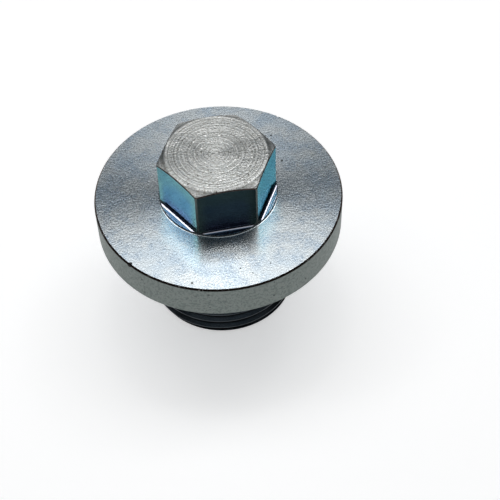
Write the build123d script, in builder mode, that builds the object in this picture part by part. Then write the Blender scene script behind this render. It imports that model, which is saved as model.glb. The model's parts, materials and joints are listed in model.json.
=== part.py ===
from build123d import *
import os
from math import cos, radians, sin, tan

# Threaded plug with a hexagon head, one piece of turned steel.
#
# The plug stands on the flat end of its threaded spigot. The origin is at the
# centre of that end and the axis runs up +Z, through the flange, to the top of
# the hexagon. One corner of the hexagon points along +X.
#
# It is made in the order of the real piece: the whole outline is turned first,
# and the six flats are then milled into the round head.

os.makedirs("parts", exist_ok=True)

# Driving dimensions, in millimetres and degrees
thread_diameter = 28.0
thread_pitch = 2.0
spigot_length = 19.0
flange_diameter = 46.0
flange_thickness = 7.0
head_height = 10.4
across_flats = 19.0

# The turned head that the flats are milled into. It is a little smaller than
# the full corners of the hexagon, so each corner keeps a narrow turned band.
head_diameter = 21.7
head_top_diameter = 18.4
head_chamfer_angle = 22.0
head_foot_radius = 0.25

# The cutter stops this far above the flange. That leaves a low round collar at
# the foot of the hexagon, with a crescent-shaped ledge in front of each flat.
ledge_height = 0.4
cutter_corner_radius = 0.6

# Broken edges of the flange
flange_edge = 0.3

# Neck between thread and flange, where the threading tool runs out, and the
# chamfer that starts the thread. Both follow from the pitch.
neck_diameter = thread_diameter - 1.5 * thread_pitch
neck_width = 2.0 * thread_pitch
neck_radius = 0.5 * thread_pitch
runout_angle = 45.0
end_chamfer = 0.65 * thread_pitch

# Radii and heights of the turned outline
thread_r = thread_diameter / 2
neck_r = neck_diameter / 2
flange_r = flange_diameter / 2
head_r = head_diameter / 2
head_top_r = head_top_diameter / 2

seat_z = spigot_length
flange_top_z = seat_z + flange_thickness
ledge_z = flange_top_z + ledge_height
head_top_z = flange_top_z + head_height
shoulder_z = head_top_z - (head_r - head_top_r) * tan(radians(head_chamfer_angle))
neck_z = seat_z - neck_width
runout_z = neck_z - (thread_r - neck_r) / tan(radians(runout_angle))

# The flats. The cutter reaches this far past the turned head on every side, so
# that no skin is left.
flat_count = 6
flat_distance = across_flats / 2
overrun = 2.0
cut_depth = head_r + overrun - flat_distance
cut_height = head_height + overrun


with BuildPart() as threaded_plug:
    # Half outline of the turned piece, radius to the right and height up
    with BuildSketch(Plane.XZ) as outline:
        with BuildLine():
            Polyline(
                (0, 0),
                (thread_r - end_chamfer, 0),
                (thread_r, end_chamfer),
                (thread_r, runout_z),
                (neck_r, neck_z),
                (neck_r, seat_z),
                (flange_r - flange_edge, seat_z),
                (flange_r, seat_z + flange_edge),
                (flange_r, flange_top_z - flange_edge),
                (flange_r - flange_edge, flange_top_z),
                (head_r, flange_top_z),
                (head_r, shoulder_z),
                (head_top_r, head_top_z),
                (0, head_top_z),
                close=True,
            )
        make_face()
        neck_corners = outline.vertices().sort_by_distance((neck_r, (neck_z + seat_z) / 2))[:2]
        fillet(neck_corners, radius=neck_radius)
        foot_corner = outline.vertices().sort_by_distance((head_r, flange_top_z))[0]
        fillet(foot_corner, radius=head_foot_radius)
    revolve(axis=Axis.Z)

    # Each flat is one straight pass beside the axis. The rounded corner of the
    # cutter leaves the hollow line between the flat and its ledge.
    for flat in range(flat_count):
        facing = radians(360 / flat_count * (flat + 0.5))
        pass_plane = Plane(
            origin=(0, 0, 0),
            x_dir=(cos(facing), sin(facing), 0),
            z_dir=(sin(facing), -cos(facing), 0),
        )
        with BuildSketch(pass_plane) as cutter:
            with Locations((flat_distance, ledge_z)):
                Rectangle(cut_depth, cut_height, align=(Align.MIN, Align.MIN))
            inner_corner = cutter.vertices().sort_by_distance((flat_distance, ledge_z))[0]
            fillet(inner_corner, radius=cutter_corner_radius)
        extrude(amount=head_r + overrun, both=True, mode=Mode.SUBTRACT)

threaded_plug.part.label = "threaded_plug"
export_step(threaded_plug.part, "parts/threaded_plug.step")

print("size", threaded_plug.part.bounding_box().size)
print("volume", threaded_plug.part.volume)
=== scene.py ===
# %% [markdown]
# # A turned and zinc-plated threaded plug
#
# The real plug is one piece of steel bar. A lathe turns its round outline, a
# milling cutter takes six flats off its round head, and a V-shaped tool cuts
# the thread on its spigot. It is then plated with zinc and dipped, which
# leaves a thin blue film. This file makes it in that same order, so each step
# below is one step in the workshop.

# %% Load the frame
import json
import random
from math import cos, pi, radians, sin, tan

import bmesh
import bpy
from mathutils import Matrix, Vector


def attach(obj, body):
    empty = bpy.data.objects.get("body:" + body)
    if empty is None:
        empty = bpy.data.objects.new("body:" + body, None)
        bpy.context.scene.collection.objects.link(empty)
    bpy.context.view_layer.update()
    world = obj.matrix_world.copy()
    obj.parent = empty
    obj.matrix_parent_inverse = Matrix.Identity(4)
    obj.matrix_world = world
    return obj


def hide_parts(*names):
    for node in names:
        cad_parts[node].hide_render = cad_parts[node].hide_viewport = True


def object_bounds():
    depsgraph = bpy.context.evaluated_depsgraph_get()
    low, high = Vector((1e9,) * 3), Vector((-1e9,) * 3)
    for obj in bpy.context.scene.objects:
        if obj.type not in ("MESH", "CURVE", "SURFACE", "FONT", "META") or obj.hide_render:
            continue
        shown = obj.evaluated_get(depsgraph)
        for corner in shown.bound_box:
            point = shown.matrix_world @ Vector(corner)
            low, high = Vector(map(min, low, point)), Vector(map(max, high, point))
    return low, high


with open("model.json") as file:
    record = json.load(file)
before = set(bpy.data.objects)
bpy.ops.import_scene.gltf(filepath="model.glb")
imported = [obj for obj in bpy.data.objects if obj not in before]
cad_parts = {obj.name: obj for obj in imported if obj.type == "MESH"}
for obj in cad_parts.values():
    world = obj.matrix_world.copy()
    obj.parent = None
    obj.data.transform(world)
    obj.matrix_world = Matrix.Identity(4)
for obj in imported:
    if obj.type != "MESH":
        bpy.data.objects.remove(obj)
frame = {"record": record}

NODE = "threaded_plug"
MM = 0.001
cad_low, cad_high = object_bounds()
mounts = {mount["name"]: mount for mount in frame["record"]["mounts"]}
print("CAD box", [round(x / MM, 2) for x in cad_low], [round(x / MM, 2) for x in cad_high])

# %% [markdown]
# ## Sizes
#
# The frame gives the outside sizes: the flange's radius, the head's top, the
# seat under the flange and the thread's radius. The small forms that a spanner
# or a tool leaves are given here in millimetres. They could all be typed in,
# but then the model would drift away from its frame when that is changed.

# %% Sizes from the frame, and the small forms
flange_r = cad_high.x
head_top_z = cad_high.z
seat_z = mounts["seat"]["pos_m"][2]
thread_r = mounts["thread"]["dims"]["r_mm"] * MM

flange_top_z = seat_z + 7.0 * MM
flange_edge = 0.3 * MM
flat_distance = 9.5 * MM
head_r = 10.85 * MM
head_top_r = 9.2 * MM
head_chamfer = radians(22.0)
head_foot_radius = 0.25 * MM
ledge_z = flange_top_z + 0.4 * MM
cutter_radius = 0.6 * MM
shoulder_z = head_top_z - (head_r - head_top_r) * tan(head_chamfer)

pitch = 2.0 * MM
thread_depth = 0.6134 * pitch
crest_width = pitch / 8
neck_r = thread_r - 0.75 * pitch
neck_z = seat_z - 2.0 * pitch
neck_radius = 0.5 * pitch
end_chamfer = 0.65 * pitch
print("thread depth", round(thread_depth / MM, 3), "mm, shoulder at", round(shoulder_z / MM, 2), "mm")

# %% [markdown]
# ## Finishes
#
# The whole plug is one steel with one coat of zinc, yet every tool leaves
# another surface under that coat: the lathe leaves rings, the cutter a near
# mirror, and the rolled rim stays matt. So there is one material for each tool,
# and what they share, such as rings, grain or the bluish film, is a node group
# that each of them uses with its own numbers. Some colours also hold painted
# shade: the rim, the spigot and its thread, the broken edges and one side of
# the flats are painted darker than their zinc. All patterns read Object
# coordinates in millimetres, so they are cut into the metal and stay there when
# the plug is turned.

# %% Helpers for nodes
def add(tree, kind, inputs, **settings):
    """Adds one node. An input is a number, a colour or another node's output."""
    node = tree.nodes.new("ShaderNode" + kind)
    for name, value in settings.items():
        setattr(node, name, value)
    for name, value in inputs.items():
        if isinstance(value, bpy.types.NodeSocket):
            tree.links.new(value, node.inputs[name])
        else:
            node.inputs[name].default_value = value
    return node


def calculate(tree, operation, a, b=0.0, c=0.0):
    return add(tree, "Math", {0: a, 1: b, 2: c}, operation=operation).outputs[0]


def fade(tree, value, start, end):
    """0 where the value is below start, 1 above end, and smooth between."""
    inputs = {"Value": value, "From Min": start, "From Max": end}
    return add(tree, "MapRange", inputs, interpolation_type="SMOOTHSTEP").outputs[0]


def blend(tree, share, a, b, mode="MIX"):
    """Colour a where the share is 0 and colour b where it is 1."""
    node = add(tree, "Mix", {0: share, 6: a, 7: b}, data_type="RGBA", blend_type=mode)
    return node.outputs[2]


def millimetres(tree, scale=(1, 1, 1)):
    """The place on the plug in millimetres, stretched by scale."""
    place = add(tree, "TexCoord", {}).outputs["Object"]
    wanted = [factor / MM for factor in scale]
    return add(tree, "Mapping", {"Vector": place, "Scale": wanted}, vector_type="POINT").outputs[0]


def new_group(name, numbers, results):
    """An empty node group with number inputs, given as name and default."""
    group = bpy.data.node_groups.new(name, "ShaderNodeTree")
    for label, default in numbers.items():
        socket = group.interface.new_socket(label, in_out="INPUT", socket_type="NodeSocketFloat")
        socket.default_value = default
    for label in results:
        group.interface.new_socket(label, in_out="OUTPUT", socket_type="NodeSocketFloat")
    given = group.nodes.new("NodeGroupInput").outputs
    wanted = group.nodes.new("NodeGroupOutput").inputs
    return group, given, wanted


def use(tree, group, **numbers):
    """Places a group in a material, and gives its outputs."""
    inputs = {name.replace("_", " "): value for name, value in numbers.items()}
    return add(tree, "Group", inputs, node_tree=group).outputs


# %% Lathe rings
def make_lathe_rings():
    """Rings round the axis, as uneven as a worn tool leaves them.

    Radius and height are added up, so that the same rings lie on a flat face,
    where only the radius changes, and round a wall, where only the height does.
    """
    group, given, wanted = new_group("lathe_rings", {"Feed": 0.4, "Drift": 0.3}, ["Height", "Shade"])
    place = add(group, "SeparateXYZ", {0: millimetres(group)}).outputs
    flat = add(group, "CombineXYZ", {0: place[0], 1: place[1]}).outputs[0]
    radius = add(group, "VectorMath", {0: flat}, operation="LENGTH").outputs["Value"]
    along = calculate(group, "ADD", radius, place[2])
    patches = add(group, "TexNoise", {"Vector": millimetres(group), "Scale": 0.35, "Detail": 2.0}).outputs[0]
    drifted = calculate(group, "MULTIPLY_ADD", patches, given["Drift"], along)
    ring = calculate(group, "DIVIDE", drifted, given["Feed"])
    lines = add(group, "TexNoise", {"W": ring, "Scale": 1.0, "Detail": 2.0}, noise_dimensions="1D").outputs[0]
    strength = fade(group, patches, 0.25, 0.7)
    height = calculate(group, "MULTIPLY", lines, strength)
    group.links.new(height, wanted["Height"])
    group.links.new(fade(group, lines, 0.35, 0.65), wanted["Shade"])
    return group


lathe_rings = make_lathe_rings()


# %% Grain and blotches
def make_grain():
    """Fine uneven grain, and a mask of the spots that stand out of it."""
    group, given, wanted = new_group("grain", {"Size": 0.3, "Spot Start": 0.6, "Spot End": 0.7}, ["Grain", "Spots"])
    scale = calculate(group, "DIVIDE", 1.0, given["Size"])
    place = {"Vector": millimetres(group), "Scale": scale, "Detail": 3.0, "Roughness": 0.5}
    noise = add(group, "TexNoise", place).outputs[0]
    group.links.new(noise, wanted["Grain"])
    group.links.new(fade(group, noise, given["Spot Start"], given["Spot End"]), wanted["Spots"])
    return group


grain = make_grain()


# %% Pits
def make_pits():
    """Separate round pits, each of its own size, in some of the cells only."""
    group, given, wanted = new_group("pits", {"Spacing": 1.5, "Size": 0.2, "Share": 0.5}, ["Pits"])
    scale = calculate(group, "DIVIDE", 1.0, given["Spacing"])
    cells = add(group, "TexVoronoi", {"Vector": millimetres(group), "Scale": scale, "Randomness": 1.0}).outputs
    chance = add(group, "SeparateColor", {0: cells["Color"]}).outputs
    reach = calculate(group, "MULTIPLY", cells["Distance"], given["Spacing"])
    size = calculate(group, "MULTIPLY", given["Size"], chance[1])
    inside = calculate(group, "SUBTRACT", size, reach)
    edge = fade(group, inside, 0.0, 0.06)
    chosen = calculate(group, "LESS_THAN", chance[0], given["Share"])
    group.links.new(calculate(group, "MULTIPLY", edge, chosen), wanted["Pits"])
    return group


pits = make_pits()


# %% Scratches
def make_scratches():
    """One straight scratch in some of the cells of a flat face, at any angle."""
    numbers = {"Spacing": 6.0, "Length": 2.0, "Width": 0.06, "Share": 0.5}
    group, given, wanted = new_group("scratches", numbers, ["Scratches"])
    scale = calculate(group, "DIVIDE", 1.0, given["Spacing"])
    place = millimetres(group)
    cells = add(group, "TexVoronoi", {"Vector": place, "Scale": scale}, voronoi_dimensions="2D").outputs
    offset = add(group, "VectorMath", {0: place, 1: cells["Position"]}, operation="SUBTRACT").outputs[0]
    chance = add(group, "SeparateColor", {0: cells["Color"]}).outputs
    angle = calculate(group, "MULTIPLY", chance[0], 2 * pi)
    turned = add(group, "VectorRotate", {"Vector": offset, "Angle": angle}, rotation_type="Z_AXIS").outputs[0]
    across = add(group, "SeparateXYZ", {0: turned}).outputs
    half_length = calculate(group, "MULTIPLY", given["Length"], calculate(group, "MULTIPLY", chance[1], 0.5))
    ends = calculate(group, "LESS_THAN", calculate(group, "ABSOLUTE", across[0]), half_length)
    side = calculate(group, "SUBTRACT", given["Width"], calculate(group, "ABSOLUTE", across[1]))
    line = fade(group, side, 0.0, given["Width"])
    chosen = calculate(group, "LESS_THAN", chance[2], given["Share"])
    mask = calculate(group, "MULTIPLY", calculate(group, "MULTIPLY", line, ends), chosen)
    group.links.new(mask, wanted["Scratches"])
    return group


scratches = make_scratches()


# %% Film of the blue dip
def make_dip_film():
    """Where the clear film is thick enough to look blue, and where straw."""
    group, given, wanted = new_group("dip_film", {"Size": 8.0}, ["Blue", "Straw"])
    scale = calculate(group, "DIVIDE", 1.0, given["Size"])
    cloud = {"Vector": millimetres(group), "Scale": scale, "Detail": 5.0, "Roughness": 0.6, "Distortion": 0.4}
    blue = add(group, "TexNoise", cloud).outputs[0]
    moved = add(group, "Mapping", {"Vector": millimetres(group), "Location": (31.0, 17.0, 5.0)}).outputs[0]
    cloud = {"Vector": moved, "Scale": scale, "Detail": 8.0, "Roughness": 0.75}
    straw = add(group, "TexNoise", cloud).outputs[0]
    group.links.new(fade(group, blue, 0.42, 0.68), wanted["Blue"])
    group.links.new(fade(group, straw, 0.58, 0.74), wanted["Straw"])
    return group


dip_film = make_dip_film()


# %% A metal to start from
RING_TURN = 0.25


def new_metal(name, roughness, anisotropy=0.0):
    """A metal material. Rings stretch its gloss across themselves."""
    material = bpy.data.materials.new(name)
    material.use_nodes = True
    tree = material.node_tree
    shader = tree.nodes["Principled BSDF"]
    shader.inputs["Metallic"].default_value = 1.0
    shader.inputs["Roughness"].default_value = roughness
    if anisotropy:
        shader.inputs["Anisotropic"].default_value = anisotropy
        shader.inputs["Anisotropic Rotation"].default_value = RING_TURN
        rings = add(tree, "Tangent", {}, direction_type="RADIAL", axis="Z")
        tree.links.new(rings.outputs[0], shader.inputs["Tangent"])
    return material, tree, shader


def part_of(tree, mask, share):
    """The mask at part of its strength."""
    return calculate(tree, "MULTIPLY", mask, share)


def roughen(tree, shader, height, depth):
    """Puts a bump of that height, at most depth millimetres deep, on the shader."""
    bump = add(tree, "Bump", {"Height": height, "Distance": depth * MM, "Strength": 1.0})
    tree.links.new(bump.outputs[0], shader.inputs["Normal"])


# %% Turned and dipped flange
def make_turned_flange():
    material, tree, shader = new_metal("turned_flange", 0.30, anisotropy=0.75)
    film = use(tree, dip_film, Size=7.0)
    fine = use(tree, grain, Size=0.42, Spot_Start=0.50, Spot_End=0.60)
    clouds = use(tree, grain, Size=3.2, Spot_Start=0.47, Spot_End=0.60)
    holes = use(tree, pits, Spacing=1.8, Size=0.30, Share=0.35)["Pits"]
    chips = use(tree, pits, Spacing=0.9, Size=0.26, Share=0.30)["Pits"]
    cuts = use(tree, scratches, Spacing=5.0, Length=3.0, Width=0.05, Share=0.5)["Scratches"]
    rings = use(tree, lathe_rings, Feed=0.25, Drift=0.2)

    colour = blend(tree, film["Blue"], (0.71, 0.76, 0.78, 1), (0.62, 0.71, 0.78, 1))
    colour = blend(tree, part_of(tree, film["Straw"], 0.3), colour, (0.80, 0.75, 0.62, 1))
    colour = blend(tree, part_of(tree, clouds["Spots"], 0.22), colour, (0.40, 0.52, 0.66, 1))
    dark_share = calculate(tree, "MULTIPLY_ADD", clouds["Spots"], 0.40, 0.10)
    dark_specks = calculate(tree, "MULTIPLY", fine["Spots"], dark_share)
    colour = blend(tree, dark_specks, colour, (0.24, 0.33, 0.43, 1))
    colour = blend(tree, holes, colour, (0.10, 0.11, 0.11, 1))
    colour = blend(tree, part_of(tree, chips, 0.4), colour, (0.97, 0.98, 0.98, 1))
    colour = blend(tree, part_of(tree, cuts, 0.4), colour, (0.88, 0.90, 0.90, 1))
    tree.links.new(colour, shader.inputs["Base Color"])

    rough = calculate(tree, "MULTIPLY_ADD", fine["Grain"], 0.14, 0.20)
    tree.links.new(rough, shader.inputs["Roughness"])
    height = calculate(tree, "MULTIPLY_ADD", rings["Height"], 0.25, fine["Grain"])
    roughen(tree, shader, height, 0.02)
    return material


flange_finish = make_turned_flange()


# %% Coarsely turned top of the head
def make_turned_head():
    material, tree, shader = new_metal("turned_head", 0.32, anisotropy=0.6)
    rings = use(tree, lathe_rings, Feed=0.20, Drift=0.12)
    fine = use(tree, grain, Size=0.34, Spot_Start=0.52, Spot_End=0.60)
    coarse = use(tree, grain, Size=0.9, Spot_Start=0.5, Spot_End=0.7)
    holes = use(tree, pits, Spacing=0.9, Size=0.22, Share=0.35)["Pits"]
    chips = use(tree, pits, Spacing=0.6, Size=0.24, Share=0.30)["Pits"]
    colour = blend(tree, rings["Shade"], (0.33, 0.34, 0.33, 1), (0.86, 0.87, 0.85, 1))
    colour = blend(tree, part_of(tree, coarse["Spots"], 0.25), colour, (0.42, 0.47, 0.51, 1))
    colour = blend(tree, part_of(tree, fine["Spots"], 0.60), colour, (0.25, 0.23, 0.19, 1))
    colour = blend(tree, holes, colour, (0.08, 0.07, 0.06, 1))
    colour = blend(tree, chips, colour, (0.98, 0.98, 0.95, 1))
    tree.links.new(colour, shader.inputs["Base Color"])
    height = calculate(tree, "MULTIPLY_ADD", rings["Height"], 0.9, fine["Grain"])
    roughen(tree, shader, height, 0.06)
    return material


head_finish = make_turned_head()


# %% Matt rim
def make_matt_rim():
    material, tree, shader = new_metal("matt_rim", 0.55)
    fine = use(tree, grain, Size=0.45, Spot_Start=0.53, Spot_End=0.62)
    rings = use(tree, lathe_rings, Feed=0.5, Drift=0.1)
    holes = use(tree, pits, Spacing=1.3, Size=0.25, Share=0.5)["Pits"]
    upright = {"Vector": millimetres(tree, (1.6, 1.6, 0.6)), "Detail": 2.0, "Distortion": 1.5}
    nicks = fade(tree, add(tree, "TexNoise", upright).outputs[0], 0.60, 0.66)
    # The grey-green base is painted much darker than the zinc on the flange's top: painted shade on the side. The
    # grain, specks, upright nicks and pits are the rim's own.
    colour = blend(tree, fade(tree, fine["Grain"], 0.35, 0.65), (0.16, 0.19, 0.18, 1), (0.27, 0.305, 0.29, 1))
    colour = blend(tree, part_of(tree, fine["Spots"], 0.30), colour, (0.12, 0.12, 0.11, 1))
    colour = blend(tree, part_of(tree, nicks, 0.65), colour, (0.07, 0.075, 0.075, 1))
    colour = blend(tree, part_of(tree, holes, 0.8), colour, (0.04, 0.045, 0.045, 1))
    tree.links.new(colour, shader.inputs["Base Color"])
    height = calculate(tree, "MULTIPLY_ADD", rings["Height"], 0.3, fine["Grain"])
    roughen(tree, shader, height, 0.06)
    return material


rim_finish = make_matt_rim()


# %% Bright milled faces
def make_milled():
    material, tree, shader = new_metal("milled", 0.12)
    shader.inputs["Specular Tint"].default_value = (0.40, 0.65, 0.72, 1)
    place = add(tree, "SeparateXYZ", {0: millimetres(tree)}).outputs
    flat = add(tree, "CombineXYZ", {0: place[0], 1: place[1]}).outputs[0]
    radius = add(tree, "VectorMath", {0: flat}, operation="LENGTH").outputs["Value"]
    clouds = use(tree, grain, Size=3.0)["Grain"]
    fine = use(tree, grain, Size=0.5, Spot_Start=0.56, Spot_End=0.7)
    drift = calculate(tree, "MULTIPLY_ADD", clouds, 5.0, -2.5)
    height = calculate(tree, "ADD", place[2], drift)
    side = calculate(tree, "MULTIPLY_ADD", clouds, 0.5, radius)

    foot, shoulder = ledge_z / MM, shoulder_z / MM
    colour = blend(tree, fade(tree, height, foot, foot + 4.5), (0.13, 0.16, 0.27, 1), (0.15, 0.26, 0.36, 1))
    colour = blend(tree, fade(tree, height, shoulder - 4.5, shoulder), colour, (0.19, 0.32, 0.33, 1))
    colour = blend(tree, fade(tree, side, 10.2, 11.1), colour, (0.22, 0.35, 0.33, 1))
    # Towards +x the flats are painted near black: painted shade on that side of the hexagon.
    plus_x_painted_shade = part_of(tree, fade(tree, place[0], 3.0, 7.0), 0.90)
    colour = blend(tree, plus_x_painted_shade, colour, (0.012, 0.055, 0.085, 1))
    colour = blend(tree, part_of(tree, fine["Spots"], 0.4), colour, (0.07, 0.11, 0.19, 1))
    level = fade(tree, place[2], foot + 0.3, foot + 0.05)
    colour = blend(tree, level, colour, (0.68, 0.69, 0.80, 1))
    tree.links.new(colour, shader.inputs["Base Color"])
    streaks = add(tree, "TexNoise", {"Vector": millimetres(tree, (3.0, 3.0, 0.12)), "Detail": 2.0}).outputs[0]
    roughen(tree, shader, streaks, 0.01)
    return material


milled = make_milled()


# %% Spigot and its thread, painted dark as shade
def make_spigot(name, dark, bright):
    material, tree, shader = new_metal(name, 0.26)
    film = use(tree, dip_film, Size=6.0)
    fine = use(tree, grain, Size=0.3, Spot_Start=0.6, Spot_End=0.7)
    colour = blend(tree, film["Blue"], bright, dark)
    colour = blend(tree, part_of(tree, fine["Spots"], 0.5), colour, (0.02, 0.022, 0.025, 1))
    tree.links.new(colour, shader.inputs["Base Color"])
    roughen(tree, shader, fine["Grain"], 0.01)
    return material


# The spigot and its thread are painted near black: painted shade for the shadow under the flange and the dark room
# around it, on zinc that is as pale as the rest. The bluish film and the dark specks mottle it.
spigot_painted_dark = make_spigot("spigot_painted_shade", (0.025, 0.032, 0.038, 1), (0.05, 0.058, 0.065, 1))
threaded = make_spigot("thread_painted_shade", (0.022, 0.028, 0.034, 1), (0.04, 0.048, 0.055, 1))


# %% Smooth foot, edges painted dark as shade, and dark knocks
def make_plain(name, roughness, low, high):
    """A finish of two colours, which the fine grain mixes."""
    material, tree, shader = new_metal(name, roughness)
    fine = use(tree, grain, Size=0.25, Spot_Start=0.45, Spot_End=0.65)
    tree.links.new(blend(tree, fine["Spots"], high, low), shader.inputs["Base Color"])
    return material


foot_finish = make_plain("smooth_foot", 0.16, (0.55, 0.62, 0.66, 1), (0.85, 0.90, 0.92, 1))
# The edges are painted near black: painted shade, standing in for the dark room that these narrow faces mirror.
# This colour goes on the broken edges, the rim's chamfers and the knocks on the head.
dark_edge_paint = make_plain("edge_painted_shade", 0.40, (0.03, 0.022, 0.018, 1), (0.10, 0.075, 0.065, 1))
knock_dark_finish = make_plain("dark_knock_metal", 0.30, (0.03, 0.026, 0.024, 1), (0.30, 0.29, 0.28, 1))

# %% [markdown]
# ## Turning the outline
#
# Everything round comes from one half outline, which spin carries round the
# axis. A cylinder and a few cones could be stacked instead, but their joints
# would have to be sewn, and the outline is what the machinist's drawing shows.
# Inside corners are rounded before the spin, because a corner of the outline
# is one vertex then, and a whole ring of edges afterwards.
#
# The number of steps is chosen so that the narrow band of turned surface on
# each corner of the hexagon is exactly two steps wide. The flats then meet the
# band on edges that are there already.

# %% Helpers for turned shapes
STEPS = 324
MERGE = 0.002 * MM


def wire(points):
    """A new bmesh with a chain of edges through (radius, height) points."""
    bm = bmesh.new()
    corners = [bm.verts.new((radius, 0, height)) for radius, height in points]
    for pair in zip(corners, corners[1:]):
        bm.edges.new(pair)
    return bm, corners


def round_corner(bm, corner, offset, segments):
    bmesh.ops.bevel(
        bm, geom=[corner], offset=offset, segments=segments,
        profile=0.5, affect="VERTICES", material=-1,
    )


def spin_round(bm, steps):
    bmesh.ops.spin(
        bm, geom=bm.verts[:] + bm.edges[:], cent=(0, 0, 0), axis=(0, 0, 1),
        angle=2 * pi, steps=steps, use_merge=True,
    )
    bmesh.ops.remove_doubles(bm, verts=bm.verts, dist=MERGE)
    bmesh.ops.recalc_face_normals(bm, faces=bm.faces)


def new_object(name, bm):
    mesh = bpy.data.meshes.new(name)
    bm.to_mesh(mesh)
    bm.free()
    made = bpy.data.objects.new(name, mesh)
    bpy.context.scene.collection.objects.link(made)
    return made


# %% Turn the plug
bm, corners = wire([
    (0, 0),
    (thread_r - end_chamfer, 0),
    (thread_r, end_chamfer),
    (thread_r, neck_z - (thread_r - neck_r)),
    (neck_r, neck_z),
    (neck_r, seat_z),
    (flange_r - flange_edge, seat_z),
    (flange_r, seat_z + flange_edge),
    (flange_r, flange_top_z - flange_edge),
    (flange_r - flange_edge, flange_top_z),
    (head_r, flange_top_z),
    (head_r, shoulder_z),
    (head_top_r, head_top_z),
    (0, head_top_z),
])
runout_corner, seat_corner, foot_corner = corners[4], corners[5], corners[10]
round_corner(bm, runout_corner, neck_radius * tan(pi / 8), 4)
round_corner(bm, seat_corner, neck_radius, 6)
round_corner(bm, foot_corner, head_foot_radius, 6)
spin_round(bm, STEPS)

finishes = [flange_finish, head_finish, rim_finish, spigot_painted_dark, foot_finish, dark_edge_paint]
FLANGE, HEAD, RIM, SPIGOT, FOOT, EDGE = range(6)
for face in bm.faces:
    middle = face.calc_center_median()
    upright = abs(face.normal.z) < 0.9
    sloping = 0.5 < face.normal.z < 0.9
    # The head's round corners take the rim's colour, and with it its painted shade.
    if middle.z > flange_top_z + head_foot_radius:
        face.material_index = RIM if upright else HEAD
    elif middle.z < seat_z - MERGE:
        face.material_index = SPIGOT
    elif middle.z > flange_top_z + MERGE:
        face.material_index = FOOT
    # Sloping faces here are the rim's chamfers. They take the edge colour, which is painted near black as shade.
    elif upright:
        face.material_index = EDGE if sloping else RIM
    else:
        face.material_index = FLANGE
print("turned:", len(bm.faces), "faces")
plug = new_object("plug", bm)
for finish in finishes:
    plug.data.materials.append(finish)

# %% [markdown]
# ## Milling the hexagon
#
# A spin in only six steps makes a hexagon in place of a circle. The same
# helper therefore makes the path of the milling cutter: a hexagonal ring whose
# inside is the six flats, with the round corner of the cutter at their foot.
# Taking it away from the turned head leaves the flats, the hollow line under
# them and a crescent-shaped ledge in front of each, as milling does. Cutting
# with flat planes would be quicker, but it can't leave the hollow line.
#
# The cutter also leaves shallow feed lines on the ledges. They are only a
# hundredth of a millimetre deep, but on a bright surface each one mirrors
# another part of the room, so they are part of the shape and not of the colour.
#
# A Boolean can carry the material of the cutter over to the faces that it
# makes. Each tool below therefore leaves its own finish behind, and no face has
# to be found again afterwards.

# %% Helpers for cutting
def cut(target, cutter, finish):
    """Takes the cutter away from the target and leaves its finish on the cut."""
    cutter.data.materials.append(finish)
    modifier = target.modifiers.new("cut", "BOOLEAN")
    modifier.operation = "DIFFERENCE"
    modifier.solver = "MANIFOLD"
    modifier.material_mode = "TRANSFER"
    modifier.object = cutter
    depsgraph = bpy.context.evaluated_depsgraph_get()
    shaped = bpy.data.meshes.new_from_object(target.evaluated_get(depsgraph))
    target.modifiers.remove(modifier)
    target.data = shaped
    bpy.data.objects.remove(cutter)
    print("after the cut:", len(shaped.polygons), "faces")


def closed_wire(points):
    """A closed chain of edges through (radius, height) points."""
    bm, corners = wire(points)
    bm.edges.new((corners[-1], corners[0]))
    return bm, corners


# %% Mill the six flats
FEED = 0.34 * MM
FEED_RIDGE = 0.15 * MM
FEED_DEPTH = 0.012 * MM
CORNER_SHARE = cos(pi / 6)

outside = flat_distance + 5 * MM
above = head_top_z + 2 * MM
feed_start = flat_distance + cutter_radius + 0.06 * MM
feed_lines = []
for line in range(4):
    start = feed_start + line * FEED
    feed_lines.append((start, ledge_z))
    feed_lines.append((start + FEED_RIDGE / 2, ledge_z + FEED_DEPTH))
    feed_lines.append((start + FEED_RIDGE, ledge_z))
path = [(flat_distance, above), (flat_distance, ledge_z)]
bm, corners = closed_wire(path + feed_lines + [(outside, ledge_z), (outside, above)])
round_corner(bm, corners[1], cutter_radius, 8)
bmesh.ops.scale(bm, vec=(1 / CORNER_SHARE, 1, 1), verts=bm.verts)
spin_round(bm, 6)
cut(plug, new_object("milling_path", bm), milled)

# %% [markdown]
# ## Cutting the thread
#
# A thread is one groove that winds up the spigot. Spin makes it too, when each
# step also moves a little up the axis. One turn is spun, and an Array modifier
# repeats it by the pitch, which is much faster than spinning them all. The
# V-shaped tool starts below the end face and runs out over the neck, so that
# the thread begins in the end chamfer and fades into the neck as the real one
# does. A stack of separate rings would look much the same from afar, but it
# isn't a thread.

# %% Cut the thread
TURN_STEPS = 180
TOOL_NOSE = 0.1 * MM

root_r = thread_r - thread_depth
outer_r = thread_r + 0.1 * MM
root_half = (pitch - crest_width) / 2 - thread_depth * tan(pi / 6)
outer_half = root_half + (outer_r - root_r) * tan(pi / 6)
bm, corners = closed_wire([
    (root_r, -pitch - root_half),
    (outer_r, -pitch - outer_half),
    (outer_r, -pitch + outer_half),
    (root_r, -pitch + root_half),
])
for corner in (corners[0], corners[3]):
    round_corner(bm, corner, TOOL_NOSE, 2)
bmesh.ops.spin(
    bm, geom=bm.verts[:] + bm.edges[:], cent=(0, 0, 0), axis=(0, 0, 1),
    dvec=(0, 0, pitch / TURN_STEPS), angle=2 * pi, steps=TURN_STEPS,
)
thread_tool = new_object("thread_tool", bm)
turns = round((neck_z + pitch) / pitch)
repeat = thread_tool.modifiers.new("turns", "ARRAY")
repeat.count = turns
repeat.use_relative_offset = False
repeat.use_constant_offset = True
repeat.constant_offset_displace = (0, 0, pitch)
bpy.context.view_layer.update()
one_piece = thread_tool.evaluated_get(bpy.context.evaluated_depsgraph_get())
bm = bmesh.new()
bm.from_mesh(one_piece.to_mesh())
thread_tool.modifiers.remove(repeat)
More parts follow.
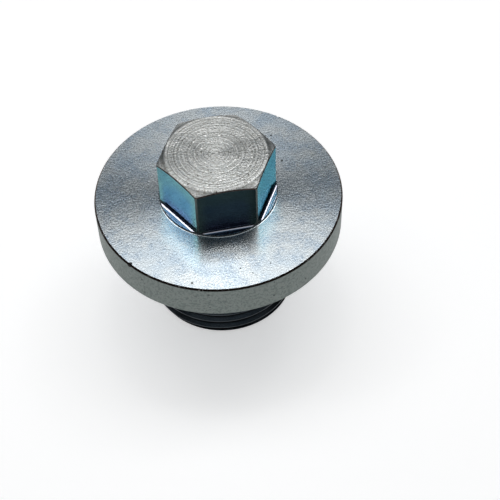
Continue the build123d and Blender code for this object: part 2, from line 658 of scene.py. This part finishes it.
bmesh.ops.remove_doubles(bm, verts=bm.verts, dist=MERGE)
bmesh.ops.holes_fill(bm, edges=[edge for edge in bm.edges if edge.is_boundary])
bmesh.ops.recalc_face_normals(bm, faces=bm.faces)
bm.to_mesh(thread_tool.data)
bm.free()
print("thread tool:", turns, "turns,", len(thread_tool.data.polygons), "faces")
cut(plug, thread_tool, threaded)

# %% [markdown]
# ## Breaking the edges
#
# No edge on a plated part is a knife edge. A small bevel gives each edge of
# the head a line that catches light or dark, which is much of what the eye
# reads as metal; its faces are also painted near black, as painted shade. It
# comes after the cuts of the tools, because a cut makes new edges, and before
# the knocks, because a bevel that meets the tiny faces of a knock folds over
# itself. For the same reason it ends where the hollow at the foot of the flats
# begins: the edges there are shorter than the bevel is wide.

# %% Break the edges of the head
HEAD_EDGE = 0.14 * MM
SHARP_CORNER = radians(35)

hollow_top = ledge_z + cutter_radius
bm = bmesh.new()
bm.from_mesh(plug.data)
bmesh.ops.remove_doubles(bm, verts=bm.verts, dist=MERGE)
bmesh.ops.dissolve_degenerate(bm, edges=bm.edges, dist=MERGE)
head_edges = [
    edge for edge in bm.edges
    if edge.is_manifold
    and min(vert.co.z for vert in edge.verts) > hollow_top - MERGE
    and edge.calc_face_angle_signed(0) > SHARP_CORNER
]
bevelled = bmesh.ops.bevel(
    bm, geom=head_edges, offset=HEAD_EDGE, segments=2, profile=0.5,
    affect="EDGES", material=-1, clamp_overlap=False,
)
# The bevel's faces take the edge colour, which is painted near black as shade.
for face in bevelled["faces"]:
    face.material_index = EDGE
open_edges = sum(not edge.is_manifold for edge in bm.edges)
print("broken", len(head_edges), "edges; open edges left:", open_edges)
bm.to_mesh(plug.data)
bm.free()

# %% [markdown]
# ## Knocks
#
# The loose plug has been dropped and rolled about with others, and its rim and
# the upper edge of its head have small knocks. Each is the bite of a little
# flattened ball. The larger ones are listed where they show, and a
# seeded random generator strews finer ones, so that they are uneven and still
# the same on every run.
#
# No two balls may overlap. A cutter has to be one clean solid, and where two
# balls share some space the Boolean leaves that space behind as a loose sliver,
# floating in the dent. It is too small to see in a picture, so the number of
# separate shells is counted at the end instead.

# %% Helper for knocks
THICKEST = 1.3

strewn = random.Random(28)


def new_knocks(name, knocks):
    """One cutter of flattened balls, each leaning at random.

    A knock is a bearing in degrees, the radius and height of the edge there,
    and a length and depth in millimetres. One that would overlap an earlier one
    is left out.
    """
    bm = bmesh.new()
    taken = []
    for bearing, edge_r, edge_z, length, depth in knocks:
        around = Matrix.Rotation(radians(bearing), 3, "Z")
        place = around @ Vector((edge_r, 0, edge_z))
        reach = max(length / 2, depth * THICKEST) * MM
        if any((place - other).length < reach + other_reach for other, other_reach in taken):
            continue
        taken.append((place, reach))
        ball = bmesh.ops.create_icosphere(bm, subdivisions=2, radius=1)["verts"]
        flatten = Matrix.Diagonal((depth, length / 2, depth * strewn.uniform(0.7, THICKEST)))
        lean = Matrix.Rotation(strewn.uniform(-0.6, 0.6), 3, "X")
        lean = lean @ Matrix.Rotation(strewn.uniform(-0.5, 0.5), 3, "Y")
        bmesh.ops.transform(bm, matrix=(around @ lean @ flatten * MM).to_4x4(), verts=ball)
        bmesh.ops.translate(bm, vec=place, verts=ball)
    print(name, len(taken), "of", len(knocks))
    return new_object(name, bm)


# %% Knock the rim
KNOCKS = (
    (-144, 0.90, 0.55), (-109, 0.55, 0.30), (49, 1.10, 0.34), (52, 0.60, 0.28),
    (71, 0.60, 0.22), (5, 0.70, 0.24), (-13, 0.80, 0.22), (136, 0.60, 0.20),
)
rim_r = flange_r - flange_edge / 2
rim_z = flange_top_z - flange_edge / 2
knocks = [(bearing, rim_r, rim_z, length, depth) for bearing, length, depth in KNOCKS]
for _ in range(60):
    bearing = strewn.uniform(-180, 180)
    knocks.append((bearing, rim_r, rim_z, strewn.uniform(0.15, 0.60), strewn.uniform(0.06, 0.17)))
# The rim's knocks are coloured near black to dark grey.
cut(plug, new_knocks("rim_knocks", knocks), knock_dark_finish)

# %% Knock the head's upper edge
knocks = []
for _ in range(70):
    bearing = strewn.uniform(0, 360)
    from_middle = radians(bearing % 60 - 30)
    edge_r = min(flat_distance / cos(from_middle), head_r)
    edge_z = shoulder_z + (head_r - edge_r) * tan(head_chamfer)
    knocks.append((bearing, edge_r, edge_z, strewn.uniform(0.15, 0.60), strewn.uniform(0.10, 0.18)))
# The head's knocks take the edge colour, which is painted near black as shade.
cut(plug, new_knocks("head_knocks", knocks), dark_edge_paint)

# %% Weld the slivers of the cuts, and count the shells
def count_shells(bm):
    """How many separate closed skins the mesh has. One solid piece has one."""
    waiting = set(bm.verts)
    shells = 0
    while waiting:
        shells += 1
        edge_of_search = [waiting.pop()]
        while edge_of_search:
            vert = edge_of_search.pop()
            near = {edge.other_vert(vert) for edge in vert.link_edges} & waiting
            waiting -= near
            edge_of_search.extend(near)
    return shells


bm = bmesh.new()
bm.from_mesh(plug.data)
bmesh.ops.remove_doubles(bm, verts=bm.verts, dist=MERGE)
bmesh.ops.dissolve_degenerate(bm, edges=bm.edges, dist=MERGE)
open_edges = sum(not edge.is_manifold for edge in bm.edges)
print("open edges:", open_edges, "and shells:", count_shells(bm))
bm.to_mesh(plug.data)
bm.free()

# %% Even out the shading
plug.data.shade_smooth()
plug.data.set_sharp_from_angle(angle=radians(20))
weights = plug.modifiers.new("even_normals", "WEIGHTED_NORMAL")
weights.keep_sharp = True
depsgraph = bpy.context.evaluated_depsgraph_get()
shaded = bpy.data.meshes.new_from_object(plug.evaluated_get(depsgraph))
plug.modifiers.remove(weights)
plug.data = shaded
print("plug:", len(plug.data.polygons), "faces,", [m.name for m in plug.data.materials])

# %% Give the plug to the frame
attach(plug, "root")
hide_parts(NODE)

# %% [markdown]
# ## Camera
#
# The camera was fitted to the outlines of the flange, the hexagon and the
# spigot. It looks down at the plug from close by, with a long lens.

# %% Camera
azimuth = radians(-10.34)
elevation = radians(50.69)
roll = radians(-1.70)
distance = 220.46 * MM
aside = Vector((-5.86, 10.76, 0)) * MM
target = Vector((0, 0, flange_top_z))

turn = Matrix.Rotation(azimuth, 3, "Z") @ Matrix.Rotation(pi / 2 - elevation, 3, "X")
turn = turn @ Matrix.Rotation(roll, 3, "Z")
place = target - turn @ (aside - Vector((0, 0, distance)))
camera_data = bpy.data.cameras.new("camera")
camera_data.lens = 85.7
camera_data.sensor_width = 36
camera_data.clip_start = 0.01
camera_data.clip_end = 20
camera = bpy.data.objects.new("camera", camera_data)
camera.matrix_world = Matrix.Translation(place) @ turn.to_4x4()
bpy.context.scene.collection.objects.link(camera)
bpy.context.scene.camera = camera
bpy.context.scene.view_settings.view_transform = "Standard"
print("camera at", [round(x / MM, 2) for x in place])

# %% [markdown]
# ## Floor
#
# The floor is pale, and glows a little for the camera and for mirror rays, so
# that it looks white and the plug's side mirrors it, while the plug still casts
# its soft shadow on it. The glow fades out away from the plug, as it does at
# the edge of a lit table.

# %% Floor
FLOOR_RADIUS = 3.0
FLOOR_GLOW = 0.56
GLOW_NEAR = 0.30
GLOW_FAR = 1.10

bm = bmesh.new()
bmesh.ops.create_circle(bm, cap_ends=True, radius=FLOOR_RADIUS, segments=64)
floor = new_object("floor", bm)
pale = bpy.data.materials.new("pale_floor")
pale.use_nodes = True
tree = pale.node_tree
shader = tree.nodes["Principled BSDF"]
shader.inputs["Base Color"].default_value = (0.90, 0.90, 0.90, 1)
shader.inputs["Roughness"].default_value = 0.9
shader.inputs["Specular IOR Level"].default_value = 0.1
shader.inputs["Emission Color"].default_value = (1, 1, 1, 1)
rays = add(tree, "LightPath", {}).outputs
seen = calculate(tree, "ADD", rays["Is Camera Ray"], rays["Is Glossy Ray"])
seen = calculate(tree, "ADD", seen, rays["Is Transmission Ray"])
seen = calculate(tree, "MINIMUM", seen, 1.0)
spot = add(tree, "TexCoord", {}).outputs["Object"]
away = add(tree, "VectorMath", {0: spot}, operation="LENGTH").outputs["Value"]
glow = part_of(tree, fade(tree, away, GLOW_FAR, GLOW_NEAR), FLOOR_GLOW)
tree.links.new(calculate(tree, "MULTIPLY", seen, glow), shader.inputs["Emission Strength"])
floor.data.materials.append(pale)

# %% [markdown]
# ## Light
#
# Bright metal has hardly any colour of its own: it shows the room. So the room
# is set like a small product studio. A small soft key light hangs almost
# overhead and a little behind the plug. It gives the flange its bright front
# and lets the head throw its short shadow there. A wide, faint panel behind it
# fills in the rest. The two side panels are there for the hexagon, whose flats
# and ledges mirror them. The room behind the camera is dark, which makes the
# near flat and the rim's edge dark; that edge is also painted near black, as
# painted shade.

# %% Soft lights, given by the direction that they come from
LIGHT_DISTANCE = 0.70


def soft_light(name, bearing, elevation, width, height, glow):
    """A rectangular panel that faces the plug, as bright as glow (1 is white)."""
    data = bpy.data.lights.new(name, "AREA")
    data.shape = "RECTANGLE"
    data.size = width
    data.size_y = height
    data.energy = glow * pi * width * height
    level = Vector((cos(radians(bearing)), sin(radians(bearing)), 0))
    towards = (level + Vector((0, 0, tan(radians(elevation))))).normalized()
    facing = towards.to_track_quat("Z", "Y").to_matrix().to_4x4()
    lamp = bpy.data.objects.new(name, data)
    lamp.matrix_world = Matrix.Translation(target + towards * LIGHT_DISTANCE) @ facing
    bpy.context.scene.collection.objects.link(lamp)


soft_light("key", bearing=83.7, elevation=71, width=0.125, height=0.080, glow=5.5)
soft_light("wide", bearing=79.7, elevation=66, width=1.00, height=0.30, glow=1.9)
soft_light("fill", bearing=79.7, elevation=84, width=1.10, height=0.80, glow=0.42)
soft_light("left_side", bearing=158.3, elevation=47.8, width=0.12, height=0.12, glow=3.4)
soft_light("right_side", bearing=38.3, elevation=47.8, width=0.12, height=0.12, glow=2.2)

# %% Room
ROOM_DARK = (0.015, 0.017, 0.020, 1)
ROOM_BEHIND_PLUG = (0.05, 0.06, 0.07, 1)

world = bpy.data.worlds.new("studio")
bpy.context.scene.world = world
world.use_nodes = True
tree = world.node_tree
sight = add(tree, "TexCoord", {}).outputs["Generated"]
behind_plug = (0.155, 0.852, 0.5)
nearness = add(tree, "VectorMath", {0: sight, 1: behind_plug}, operation="DOT_PRODUCT").outputs["Value"]
room = blend(tree, fade(tree, nearness, 0.30, 0.85), ROOM_DARK, ROOM_BEHIND_PLUG)
tree.links.new(room, tree.nodes["Background"].inputs["Color"])
